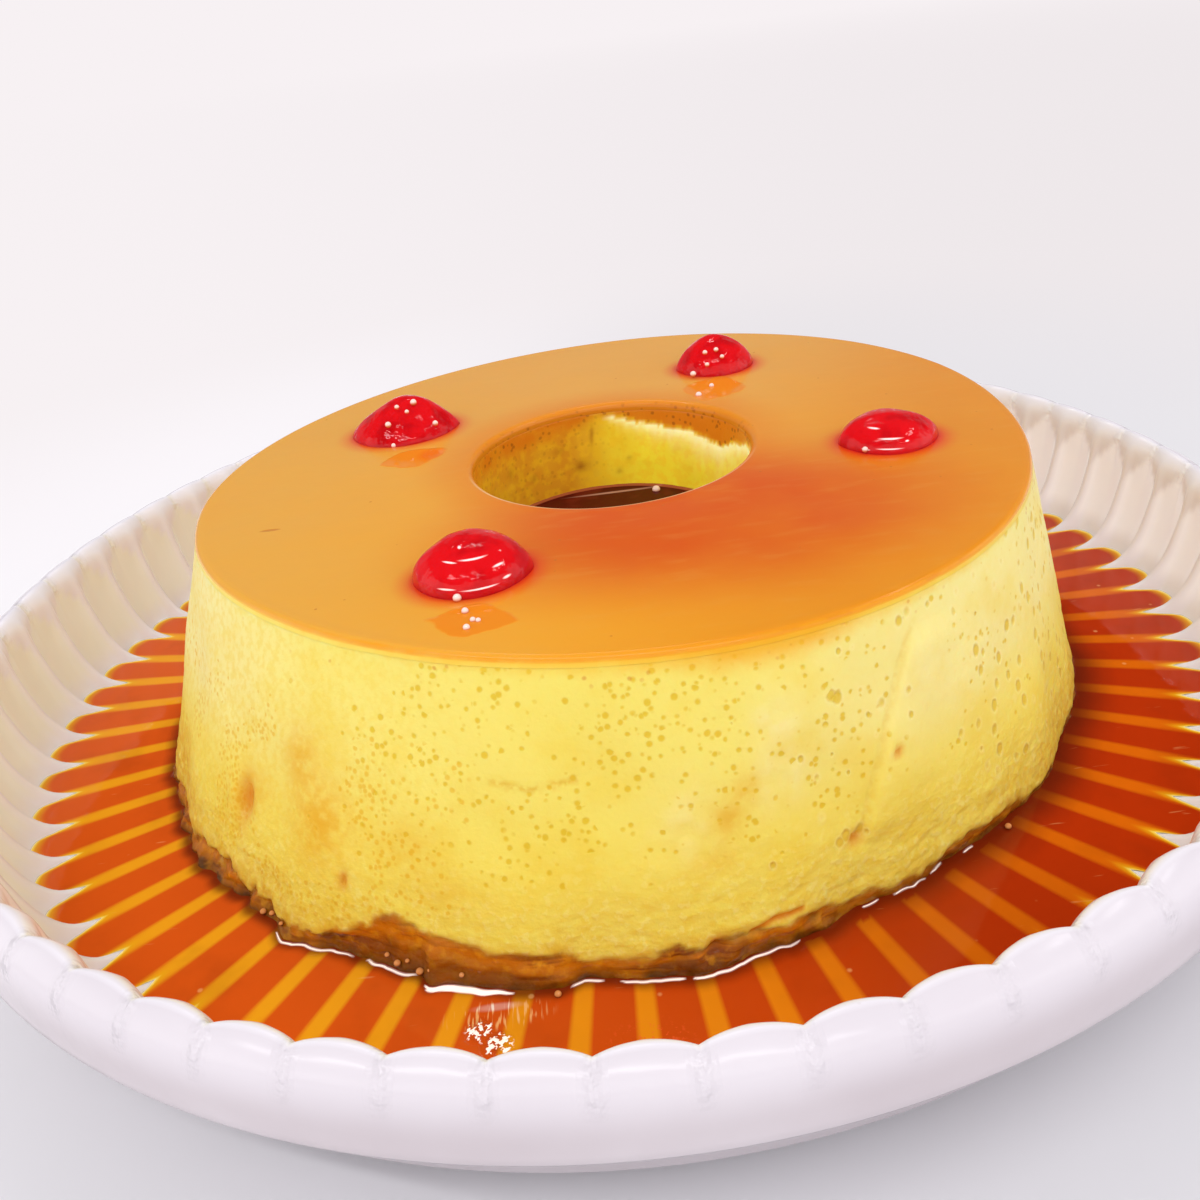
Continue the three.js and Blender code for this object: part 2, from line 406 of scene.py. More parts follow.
def buildPlate():
    angles = fluteAngles()
    radius, height, share = plateLines()
    across = np.abs(flutePlaces)[None, :]
    inside = (np.arange(len(radius)) <= plateShape["rimRow"])[:, None]
    white = 0.05 + 0.47 * step(height, 20, 29)  # half the width of the white lobe between two hollows
    # painted shade in the valleys up the wall, narrowing to points below the lobes
    hollowShade = step(across, white * 0.75, white * 1.15 + 0.03) * step(height, 3.2, 9) * inside
    groove = bell(0.5 - across, 0.09) * step(height, 24, 28)
    # painted shade on the rim's outside, darker lower down
    outer = (0.45 + 0.5 * step(height, 28.5, 21)) * ~inside
    rows, paint = [], {"hollowShade": [], "groove": [], "outer": []}

    def addRow(r, h, *values):
        rows.append(np.stack([r * np.cos(angles), r * np.sin(angles), h + 0 * angles], -1))
        for name, value in zip(paint, values):
            paint[name].append(value + 0 * angles)

    for r, h in plateShape["middle"]:
        addRow(r, h, 0, 0, 0)
    for lines in zip(radius, height, hollowShade, groove, outer):
        addRow(*(np.tile(line, plateShape["flutes"]) for line in lines))
    for r, h in plateShape["underside"]:
        addRow(r, h, 0, 0, plateShape["undersideShade"])
    ends = [ringFace(0, len(angles)), ringFace(len(rows) - 1, len(angles), flip=True)]
    addPiece("plateGlaze", rows, gridFaces(len(rows), len(angles), flip=True), plateFinish(),
             ["plate"], paint, ends)


# Pudding: a leaning ring of custard

pudding = {
    "height": 53.8,
    "base": (100.1, -0.6, -1.5),  # radius and middle
    "top": (84.7, 5.3, -1.5),
    "lobed": (1.3, 3, 177),  # the top's millimetres, lobes and turn
    # how much wider the top is, by angle
    "wider": [(0, 0.4), (20, 1.4), (40, 1.4), (60, 0.8), (90, 0.5), (120, 0.8), (150, 1.3), (180, 1.8),
              (197, 1.5), (220, 0.4), (240, 0), (340, 0)],
    "swells": [(245, 18, 1.8), (295, 9, -2.6), (342, 16, 1.5)],  # of the foot: at, width, out
    "holeTop": 30.0,
    "holeBase": 26.8,
    "sauceLevel": 3.0,
    "poolLevel": 33.2,
    "bed": -1.4,
    "wallEnd": 52.2,  # where wall and hole turn in, under the caramel
    "flatTop": 52.5,
    "columns": 840,
    "degree": 1.65,  # millimetres round the wall for each degree
}


def puddingCentre(height):
    up = np.asarray(height) / pudding["height"]
    base, top = pudding["base"], pudding["top"]
    return base[1] + (top[1] - base[1]) * up, base[2] + (top[2] - base[2]) * up


def lumps(angle, height):
    return (0.35 * np.sin(7 * angle + height / 9) + 0.3 * np.sin(13 * angle - height / 6 + 1)
            + 0.25 * np.sin(23 * angle + height / 4 + 2))


def wallRadius(angle, height):
    up = np.clip((height - pudding["sauceLevel"]) / (pudding["height"] - pudding["sauceLevel"]), 0, None)
    degrees = np.degrees(angle)
    swell = sum(out * bell(turnFrom(degrees, at), wide) for at, wide, out in pudding["swells"])
    low = pudding["base"][0] + swell + 0.45 * np.sin(17 * angle + 1) + 0.3 * np.sin(29 * angle + 2.4)
    out, count, turn = pudding["lobed"]
    lobed = out * np.cos(count * (angle - math.radians(turn)))
    high = pudding["top"][0] + lobed + around(degrees, pudding["wider"])
    return low + (high - low) * up + 0.6 * lumps(angle, height) * np.sin(math.pi * unit(up))


def holeRadius(height):
    return pudding["holeBase"] + (pudding["holeTop"] - pudding["holeBase"]) * height / pudding["height"]


def onPudding(angle, radius, height):
    x, y = puddingCentre(height)
    return np.stack(np.broadcast_arrays(x + radius * np.cos(angle), y + radius * np.sin(angle), height), -1)


custardMarks = {
    "byAngle": {
        # height of the custard's ragged lower edge, above the soaked foot
        "edge": [(0, 5), (30, 4), (70, 5.5), (110, 4), (150, 5), (185, 5), (205, 5.6), (213, 6.8), (219, 6.6),
                 (224, 5.6), (231, 5), (236, 5.4), (240, 8.5), (243, 11.6), (248, 11), (253, 9.8),
                 (259, 8.2), (265, 7.2), (270, 6.6), (274, 7.5), (279, 7), (284, 7.4), (289, 5.6),
                 (294, 4.6), (300, 5), (306, 6), (312, 5), (320, 3.8), (330, 4), (340, 5)],
        # height up to which syrup has tinted the custard
        "amber": [(0, 13), (90, 12), (180, 19), (190, 22), (198, 21), (206, 17), (214, 12), (226, 11.5),
                  (240, 13), (256, 11.5), (270, 10), (290, 9.5), (305, 9), (318, 10.5), (334, 13), (345, 13)],
        "flare": [(0, 0.2), (60, 0.1), (180, 0.2), (205, 0.5), (226, 0.6), (232, 0.9), (236, 0), (240, -1.0),
                  (243, -0.9), (248, -1.2), (249.7, 0.9), (252, -0.1), (256.5, -0.5), (259, -0.1), (262, 0.4),
                  (264, -0.7), (268, -0.3), (272, -0.5), (273.7, 0.9), (275.4, 1.0), (277, 0.2), (279, -0.7),
                  (282, -0.5), (287, -0.2), (292, -0.2), (296, -0.6), (300, -1.0), (306, -0.8), (315, -0.4),
                  (330, 0.1)],
        "rough": [(0, 0.25), (190, 0.5), (203, 0.9), (233, 0.9), (241, 0.45), (256, 0.16), (270, 0.25),
                  (276, 0.6), (285, 0.55), (300, 0.35), (340, 0.25)],
        "torn": [(0, 0.8), (170, 0.9), (200, 1.4), (225, 1.9), (240, 1.6), (250, 0.9), (300, 0.9)],
        "dark": [(0, 0.5), (236, 1), (250, 0.3), (268, 0.3), (280, 0.9), (300, 0.6)],
        "pale": [(0, 0.9), (90, 0.7), (180, 0.95), (205, 0.95), (216, 0.7), (232, 0.3), (262, 0.12),
                 (278, 0.2), (292, 0.6), (305, 0.8), (320, 0.75), (340, 0.85)],
        "pores": [(0, 0.3), (90, 0.5), (180, 0.15), (215, 0), (236, 0.1), (244, 0.7), (252, 1.0), (284, 1.0),
                  (290, 0.7), (295, 0.3), (310, 0.45), (335, 0.4)],
        "blotch": [(0, 0.3), (90, 0.4), (180, 0.9), (222, 1.0), (240, 0.7), (252, 0.2), (300, 0.1),
                   (330, 0.3)],
        "bubbles": [(0, 0.7), (60, 0.5), (140, 0.3), (230, 0), (272, 0), (284, 0.3), (290, 0.7), (297, 0.5),
                    (301, 0.2), (308, 0.8), (325, 1.0), (345, 0.8)],
        "stipple": [(0, 0), (180, 0), (203, 0.5), (222, 1.0), (240, 0.9), (250, 0.2), (256, 0)],
    },
    # soft ovals: angle, height, half width, half height and strength; smooth ones have no pores
    "smooth": [(239, 47, 5, 4, 1), (257.5, 37, 7, 3.6, 1), (302, 34, 8, 10, 1), (298.5, 19, 6, 6, 1)],
    "smudges": [(231, 33, 4.5, 5, 0.75), (235, 24, 7, 7, 0.95), (224, 23, 4, 4, 0.5), (246, 24, 6, 5, 0.4),
                (251, 17, 7, 3, 0.35), (277.5, 27, 2.4, 3.0, 0.7), (279.5, 31, 2.2, 2.5, 0.55),
                (276.5, 20, 4, 2, 0.35)],
    "flakes": [(273.5, 25.5, 5.5, 7, 0.6), (282.5, 41, 3.5, 4, 0.5), (283, 31, 4.5, 6, 0.5),
               (239.8, 16.4, 2, 2, 0.9), (224, 13, 5, 5, 0.5), (300, 41, 4, 4, 0.3)],
    # wet pits, with their depth
    "pits": [(221.8, 19.8, 2.2, 4.2, 1.7), (238.9, 15.6, 0.9, 1.5, 1.0), (291.2, 15.6, 1.3, 1.2, 1.0),
             (296.0, 28.6, 0.9, 0.9, 0.5), (276.0, 6.5, 1.2, 1.6, 0.9)],
    # lines: angle and height
    "scar": [(299.5, 49), (298.0, 45.4), (296.2, 38.3), (294.4, 30.9), (293.0, 23.2), (292.2, 16.7)],
    "crease": [(254.4, 35.5), (258.0, 34.1), (262.9, 35.3)],
    "crack": [(279.5, 7.6), (281.5, 8.6), (284.5, 8.6)],
}


def oval(degrees, height, at, up, wide, tall, degree=pudding["degree"]):
    return np.exp(-(turnFrom(degrees, at) * degree / wide) ** 2 - ((height - up) / tall) ** 2)


def ovals(degrees, height, marks, degree=pudding["degree"]):
    return sum(weight * oval(degrees, height, *mark, degree) for *mark, weight in marks)


def trail(degrees, height, knots):
    # distance to a line drawn on the wall, and how far to its right a point is
    start = knots[0][0]
    x, y = turnFrom(degrees, start) * pudding["degree"], height
    best = np.full(np.shape(x + y), 1e9)
    side = np.zeros_like(best)
    spots = [((at - start) * pudding["degree"], up) for at, up in knots]
    for (x0, y0), (x1, y1) in zip(spots, spots[1:]):
        long = (x1 - x0) ** 2 + (y1 - y0) ** 2
        t = unit(((x - x0) * (x1 - x0) + (y - y0) * (y1 - y0)) / long)
        dx, dy = x - x0 - t * (x1 - x0), y - y0 - t * (y1 - y0)
        away = np.hypot(dx, dy)
        closer = away < best
        best = np.where(closer, away, best)
        side = np.where(closer, dx, side)
    return best, side


def dressWall(angle, height):
    # how far the wall stands out or in, and what is painted on it
    degrees = np.degrees(angle) % 360 + 0 * height
    along = allAround(degrees, custardMarks["byAngle"])
    smooth, smudge, flake = (ovals(degrees, height, custardMarks[name])
                             for name in ("smooth", "smudges", "flakes"))
    points = onPudding(angle, wallRadius(angle, height), height)
    wall = np.stack([degrees * pudding["degree"], height + 0 * degrees, 0 * degrees], -1)
    flat = wall * (0.8, 1.2, 1)
    edge = along["edge"] + along["torn"] * (1.1 * grain(wall, 4.2, 1) + 0.5 * grain(wall, 1.6, 2))
    below = edge - height  # over 0 in the soaked foot
    foot = step(below, -0.7, 0.8)
    low = step(height, 29, 8)
    out = 0.035 * grain(points, 1.4, 3) + 0.06 * grain(points * (1, 1, 2.5), 5, 4)
    out += low * (0.13 * grain(flat, 2.4, 5) + 0.12 * grain(flat, 1.1, 6))
    flake = flake + 0.4 * step(degrees, 196, 212) * step(degrees, 240, 226) * step(height, 16, 8)
    crumbs = grain(points, 2.6, 7)
    out += flake * (0.2 + 0.55 * crumbs + 0.25 * grain(points, 1.2, 8))
    out += 0.25 * bell(below + 1.5, 1.6) * (1 - foot)  # the custard bulges softly over the foot
    ragged = 1.1 * grain(points, 3.4, 9) + 0.55 * grain(points, 1.5, 10)
    layered = 0.12 * np.sin(below * 2.2 + 1.2 * grain(wall, 8, 11))
    flare = along["flare"] * step(below, 0.2, 3.2)
    out += foot * (flare + along["rough"] * ragged + layered) - 0.25 * bell(below - 0.5, 0.6)
    scar, right = trail(degrees, height, custardMarks["scar"])
    ends = step(height, 13, 18) * step(height, 50, 46)
    out += ends * (0.75 * step(right, -0.5, 0.6) * step(right, 13, 2) - 0.45 * bell(scar, 0.7))
    crease, _ = trail(degrees, height, custardMarks["crease"])
    crack, _ = trail(degrees, height, custardMarks["crack"])
    out -= 0.12 * bell(crease, 0.55) + 0.5 * bell(crack, 0.5)
    wet = 0
    for at, up, wide, tall, depth in custardMarks["pits"]:
        pit = oval(degrees, height, at, up, wide, tall)
        wet = wet + pit
        out += 0.35 * depth * oval(degrees, height, at - wide, up + 0.6, wide * 0.8, tall) - depth * pit
    amber = along["amber"] + 2.2 * grain(wall, 6, 14) + 1.2 * grain(wall * (1, 0.5, 1), 1.8, 15)
    paint = {
        "down": pudding["height"] - height + 0 * degrees,
        "band": around(degrees, caramel["band"]),
        "blotch": along["blotch"] * step(height, 5, 14),
        "toLine": step(below, 1.5, 5.0) * foot,
        "soaked": foot,
        # painted shadow right under the custard's overhanging edge
        "edgeShadow": bell(below - 0.4, 0.6) * unit(0.65 + 0.5 * grain(wall, 3, 12)),
        "deep": unit(step(height, 6.2, 3.0) * foot * (0.6 + 0.5 * grain(points, 2.2, 13))
                     + 0.6 * foot * step(grain(points, 3.0, 16), 0.25, 0.6) * along["dark"]),
        "ambered": step(height, amber + 2.5, amber - 7.5),
        "pale": unit(along["pale"] * step(height, 14, 38) + flake * (0.5 + 0.7 * step(crumbs, -0.1, 0.5))),
        "pores": along["pores"] * unit(1 - 1.2 * smooth) * step(height, 17, 26) * (1 - 0.7 * unit(flake)),
        "bubbles": along["bubbles"] * unit(1 - 1.1 * smooth) * step(height, 9, 15),
        "stipple": along["stipple"] * unit(1 - 0.8 * smooth) * step(height, 44, 30)
        * step(height, 4, 14) * step(grain(wall, 9, 17), -0.3, 0.5),
        "smudge": unit(smudge),
        "line": unit(bell(crease, 0.6) + 0.45 * ends * bell(scar, 0.55)),
        "wet": unit(wet + 1.2 * bell(crack, 0.5)),
        "low": low,
        "golden": step(height, 36, 14),
    }
    return out * step(height, 47.8, 43), paint


holeStain = {
    "byAngle": {
        # how far the brown stain runs down the inside from the lip
        "drip": [(0, 3.2), (4.7, 3.5), (11, 5.0), (17, 5.8), (23, 7.0), (29, 7.8), (40, 6.9), (48, 6.2),
                 (65, 5.5), (76, 4.3), (86, 2.8), (94, 3), (104, 4.8), (118, 6.2), (150, 6.3), (180, 5),
                 (230, 3), (320, 3)],
        # how thick the painted highlight line under it is
        "line": [(0, 2.6), (20, 4.2), (45, 3.6), (60, 2.6), (76, 1.8), (86, 0.9), (91, 0), (320, 0),
                 (345, 1.2)],
        "amber": [(0, 0.1), (25, 0.05), (70, 0.08), (86, 0.3), (96, 0.75), (110, 1.0), (230, 0.9),
                  (290, 0.4)],
    },
    # darker blots: angle, height, half width, half height and strength
    "blots": [(126, 39.8, 1.0, 0.8, 0.6), (101, 39.7, 1.6, 1.2, 0.8), (95.6, 46.6, 0.5, 2.2, 0.7),
              (82, 37, 0.8, 0.7, 0.5), (77.6, 40.2, 0.7, 0.6, 0.45), (112, 44.5, 1.4, 0.9, 0.4),
              (140, 43.5, 1.2, 1.4, 0.5)],
    "degree": 0.49,  # millimetres round the hole for each degree
}


def dressHole(angle, height):
    degrees = np.degrees(angle) % 360 + 0 * height
    along = allAround(degrees, holeStain["byAngle"])
    points = onPudding(angle, holeRadius(height), height)
    ragged = 0.5 * grain(points * (1, 1, 0.35), 3.0, 21) + 0.45 * grain(points * (1, 1, 0.5), 0.8, 22)
    down = pudding["height"] - height
    past = down - (along["drip"] + ragged)
    thick = along["line"] * (1 + 0.25 * grain(points, 2.4, 25))
    amber = unit(along["amber"] + 0.12 * grain(points, 5, 26))
    blots = ovals(degrees, height, holeStain["blots"], holeStain["degree"])
    torn = 0.3 + 0.7 * step(grain(points, 2.6, 27), -0.3, 0.2)  # on the amber side the stain is in patches
    inward = 0.12 * grain(points, 4, 23) + 0.08 * grain(points, 1.6, 24)
    paint = {
        "stain": step(-past, -0.4 - 2.5 * amber, 0.6 + 2 * amber) * (1 - 0.4 * amber * (1 - torn)),
        # a painted highlight band just under the stain
        "glow": step(past, 0.0, 0.6) * np.exp(-np.clip(past - 0.6, 0, None) / (0.6 * thick + 0.01))
        * unit(thick),
        "holeAmber": amber,
        "blot": unit(blots * (1 + 0.4 * grain(points, 1.0, 28))),
        "inHole": 1 + 0 * degrees,
    }
    return inward * step(down, 2, 5), paint


custardTints = {
    "front": (238, 222, 98),
    "side": (242, 230, 156),
    "golden": (239, 220, 94),
    "mottle": (235, 203, 54),
    "curd": (246, 234, 140),
    "pore": (222, 186, 24),
    "stipple": (228, 182, 28),
    "smudge": (228, 172, 28),
    "amber": (220, 168, 40),
    "soak": (204, 116, 8),
    "glassy": (234, 160, 22),
    "brown": (132, 56, 3),
    "dark": (78, 28, 4),
    "wet": (220, 128, 20),
    "line": (224, 180, 46),
    "bubble": (224, 192, 54),
    "bubbleRim": (251, 240, 184),
    "hole": (238, 216, 50),
    "holeAmber": (206, 140, 28),
    "holeStain": (204, 114, 16),
    "holeSpot": (142, 72, 12),
    "holeGlow": (255, 250, 184),
}


def bandStain(finish, under):
    # the caramel's stain, which fades out down the wall
    band = finish.painted("band")
    down = finish.painted("down") + (finish.noise(3.0, 3) - 0.5) * 1.8
    cool, hot = (colour(*caramel["tints"][name]) for name in ("edge", "edgeHot"))
    tint = finish.blend(finish.fade(band, 1.6, 3.4), cool, hot)
    return finish.blend(finish.fade(down, band * 1.3 + 1.5, band * 0.4 - 0.5), under, tint)


def custardFinish():
    finish = Finish("bakedCustard", custardTints)
    tints, paint, coat = finish.tints, finish.painted, finish.coat
    fade, clouds, cells = finish.fade, finish.clouds, finish.cells
    finish.tint = tints["front"]
    coat(paint("pale"), "side")
    coat(paint("golden") * 0.8, "golden")
    coat(clouds(11, 4, 0.45, 0.75) * 0.4, "mottle")
    upright = clouds(1.3, 3, 0.42, 0.7, finish.stretched((1, 1, 0.22)))
    coat(upright * paint("stipple") * 0.4, "mottle")
    flat = finish.noise(1.6, 3, finish.stretched((0.6, 0.6, 1.3)))
    coat(fade(flat, 0.42, 0.66) * paint("low") * 0.5, "mottle")
    curds = finish.noise(1.3, 3)
    coat(fade(curds, 0.52, 0.66) * paint("low") * 0.5, "curd")
    coat(clouds(1.4, 4, 0.4, 0.66) * paint("blotch") * 0.4, "mottle")
    # fine pores in loose clumps, uneven in size and outline
    uneven = finish.warped(1.6, 0.35)
    poreKind = cells(1.5, uneven, "Color")
    poreSize = finish.part(poreKind, 1) * 0.18 + 0.2
    clump = paint("pores") * (0.35 + 0.65 * clouds(9, 2, 0.38, 0.6))
    poreKeep = fade(finish.part(poreKind, 0), 1.0 - clump, 1.08 - clump)
    pore = fade(cells(1.5, uneven), poreSize + 0.12, poreSize - 0.12) * poreKeep
    coat(pore * 0.8, "pore")
    stipple = paint("stipple")
    dotKeep = fade(finish.part(cells(1.05, output="Color"), 1), 1.0 - stipple, 1.06 - stipple)
    coat(fade(cells(1.05), 0.6, 0.25) * dotKeep * (0.65 + 0.25 * paint("smudge")), "stipple")
    lying = finish.stretched((1, 1, 0.75))
    bubbleAway, bubbleKeep = cells(3.0, lying), finish.part(cells(3.0, lying, "Color"), 2)
    bubbleSize = fade(bubbleKeep, 1.0 - paint("bubbles") * 0.9, 1.25 - paint("bubbles") * 0.7)
    there = fade(bubbleSize, 0.0, 0.12)
    bubble = fade(bubbleAway, 0.08 + bubbleSize * 0.28, 0.02 + bubbleSize * 0.16) * there
    rim = fade(bubbleAway, 0.16 + bubbleSize * 0.34, 0.08 + bubbleSize * 0.28) * there
    coat(rim * 0.15, "bubbleRim")
    coat(bubble * 0.85, "bubble")
    coat(paint("smudge") * (0.4 + clouds(2.2, 4, 0.3, 0.62) * 0.55), "smudge")
    coat(paint("line") * (0.15 + clouds(1.5, 2, 0.35, 0.6) * 0.6), "line")
    coat(paint("ambered") * (0.2 + clouds(1.6, 4, 0.35, 0.65) * 0.55), "amber")
    coat(paint("wet") * 0.85, "wet")
    layers = clouds(1.7, 3, 0.34, 0.56, finish.stretched((0.1, 0.1, 1.3)))
    soak = finish.laid(tints["brown"], (layers, "soak"), (clouds(2.4, 4, 0.48, 0.72) * 0.8, "glassy"),
                       (paint("toLine") * 0.75, "brown"), (paint("deep"), "dark"))
    finish.tint = finish.blend(paint("soaked") * 0.96, finish.tint, soak)
    # painted shadow under the custard's edge
    coat(paint("edgeShadow") * 0.55, "brown")
    finish.tint = bandStain(finish, finish.tint)
    bandDot = fade(cells(1.9, uneven), 0.26, 0.1) * clouds(7, 2, 0.46, 0.6) * fade(paint("down"), 5.5, 3.5)
    coat(bandDot * 0.5, "soak")
    spot = fade(cells(1.7, finish.warped(1.5, 0.5)), 0.34, 0.14)
    spot = spot * paint("stain").most(paint("holeAmber") * 0.35)
    inside = finish.laid(tints["hole"], (paint("holeAmber"), "holeAmber"),
                         (clouds(2.4, 3, 0.42, 0.64) * 0.4, "stipple"), (paint("glow"), "holeGlow"),
                         (paint("stain"), "holeStain"), ((spot * 0.7).most(paint("blot") * 0.8), "holeSpot"))
    finish.tint = finish.blend(paint("inHole"), finish.tint, inside)
    normal = finish.bump(1 - pore * 0.25 - bubble, 0.5, 0.5)
    normal = finish.bump(finish.noise(0.8, 4), 0.12, 0.6, normal)
    normal = finish.bump((flat * 0.6 + curds) * paint("low"), 0.5, 0.6, normal)
    gloss = paint("soaked").most(paint("wet")).most(paint("inHole") * 0.5)
    return finish.surface({
        "Roughness": 0.5 - gloss * 0.36,
        "Specular IOR Level": 0.25,
        "Subsurface Weight": 0.35,
        "Subsurface Radius": (1.0, 0.6, 0.25),
        "Subsurface Scale": 2.5 * mm,
        "Emission Color": finish.blend(paint("inHole"), black, inside),  # painted light: the hole's inside gives off its own colours, standing in for light coming through the custard
        "Emission Strength": 0.22,
        "Normal": normal,
    })


def buildCustard():
    angle = turns(pudding["columns"])[None, :]
    end, flatTop = pudding["wallEnd"], pudding["flatTop"]
    heights = np.concatenate([np.arange(-1.2, 14, 0.4), np.arange(14, 51.6, 0.78), [end]])[:, None]
    out, paint = dressWall(angle, heights)
    wall = onPudding(angle, wallRadius(angle, heights) + out, heights)
    holeHeights = np.concatenate([np.arange(end, 32, -0.85), [20, pudding["bed"]]])[:, None]
    inward, holePaint = dressHole(angle, holeHeights)
    hole = onPudding(angle, holeRadius(holeHeights) - inward, holeHeights)
    rim = onPudding(angle, wallRadius(angle, end) - 1.2, flatTop)
    lip = onPudding(angle, holeRadius(end + 0.1) + 1.6, flatTop)
    points = np.concatenate([wall, rim, lip, hole])
    full = {name: np.zeros(points.shape[:2]) for name in [*paint, *holePaint]}
    for name, values in paint.items():
        full[name][:len(heights)] = values
    for name, values in holePaint.items():
        full[name][len(heights) + 1:] = np.vstack([values[:1], values])
    addPiece("custardBody", points, gridFaces(*points.shape[:2], loop=True), custardFinish(),
             ["custard"], full)
    level = np.argmin(np.abs(heights[:, 0] - pudding["sauceLevel"]))
    return wall[level]


# Caramel: the stained top, a band over its edge, and a brown lip in the hole

caramel = {
    "columns": 720,
    "topRows": 44,
    "edgeRound": 0.8,
    "lipRound": 1.4,
    "proud": 0.05,
    # rows down the wall and down the hole: how far down, and how far out; both ends lie in the custard
    "sideRows": [(6.0, -0.5), (3, -0.5), (1.9, -0.5), (1.75, -0.1), (1.72, 0.05), (1.68, 0.05), (1.2, 0.05),
                 (0.8, 0.05)],
    "lipRows": [(1.95, -0.05), (1.98, -0.05), (2.01, 0.1), (2.2, 0.5), (7, 0.5)],
    "lipShine": {75: 0.8, 60: 0.7},  # on two of the lip's rows, by their turn
    "nearSide": [(190, 0), (215, 1), (300, 1), (345, 0)],
    # how far the stain runs down the wall, by angle
    "band": [(0, 1.4), (60, 1.4), (120, 1.2), (180, 0.5), (210, 0.3), (235, 0.7), (250, 1.5), (262, 1.8),
             (272, 2.4), (279, 3.7), (287, 3.7), (293, 2.2), (302, 1.7), (320, 1.2), (340, 1.2)],
    "tints": {
        "left": (229, 166, 62),
        "back": (229, 165, 70),
        "front": (236, 160, 36),
        "right": (223, 138, 26),
        "hot": (214, 82, 2),
        "ring": (225, 131, 22),
        "below": (242, 222, 104),
        "edge": (244, 192, 52),
        "edgeHot": (240, 174, 30),
        "rimLine": (234, 156, 26),
        "lip": (218, 130, 26),
        "lipDot": (160, 84, 16),
        "lipShine": (252, 214, 156),
        "bleed": (226, 44, 26),
        "smear": (234, 136, 28),
        "crescent": (232, 104, 14),
        "pin": (196, 112, 30),
    },
    # syrup that ran from the cherries over the top, its colour partly a painted reflection of the cherries:
    # middle, half sizes and turn of each diamond
    "smears": [(-38.4, 8.3, 7.6, 5.6, 19), (-21.6, -70.2, 7.3, 5.0, -15), (32.1, 30.4, 7.6, 8.6, -18)],
    "smearPower": 1.35,  # 1 would be a diamond with straight sides, and 2 an oval
}

# each half: middle, half sizes, height, how pointed its two ends are and the dome's roundness
cherries = [
    {"x": -42.1, "y": 28.0, "half": (12.9, 11.2), "height": 8.3, "pointed": 1.3, "dome": (1.5, 0.75),
     "peak": (0.12, 0.0), "bumps": 0.3, "seed": 31},
    {"x": -22.15, "y": -53.3, "half": (10.65, 9.6), "height": 7.0, "pointed": 1.25, "dome": (2, 0.55),
     "peak": (0.0, 0.1), "bumps": 0.18, "seed": 32},
    {"x": 35.0, "y": 48.3, "half": (9.85, 9.2), "height": 8.0, "pointed": 1.25, "dome": (1.7, 0.66),
     "peak": (0.0, 0.0), "bumps": 0.25, "seed": 33},
    {"x": 61.1, "y": -15.3, "half": (10.2, 9.2), "height": 5.6, "pointed": 1.35, "dome": (2, 0.55),
     "peak": (-0.05, 0.0), "bumps": 0.15, "seed": 34},
]


